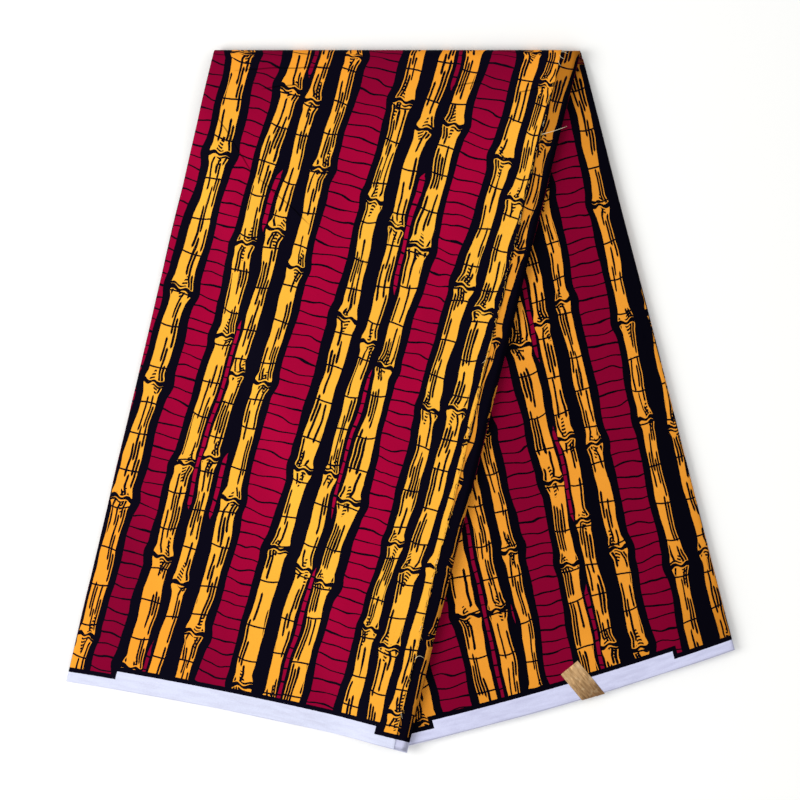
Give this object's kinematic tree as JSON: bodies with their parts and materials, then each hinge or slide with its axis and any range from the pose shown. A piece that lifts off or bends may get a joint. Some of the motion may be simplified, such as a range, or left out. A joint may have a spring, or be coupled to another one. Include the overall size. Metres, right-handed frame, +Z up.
{
  "type": "folded wax print cotton fabric",
  "caption": "Wax-print cotton cloth with a bamboo stripe, folded zigzag and then once across, lying flat as a V with plain white selvedges and a plain gold foil label.",
  "frame": {"origin": "on the surface that the cloth lies on, under the middle of its outline", "axes": "+Z is up out of the surface, +Y runs from the two hems to the fold across the strip, +X is towards the back leg's hem"},
  "size_m": [0.5773, 0.6059, 0.0165],
  "materials": {
    "printed_cotton": "calendered wax print, crimson, navy and golden yellow, slight sheen",
    "layered_cotton": "folded edges of the same print, with white selvedges at the hems",
    "gold_foil": "brushed foil on paper, slightly creased"
  },
  "bodies": {
    "root": {"folded_layers": "layered_cotton", "top_ply": "printed_cotton", "back_ply": "printed_cotton", "foil_label": "gold_foil"}
  },
  "joints": []
}
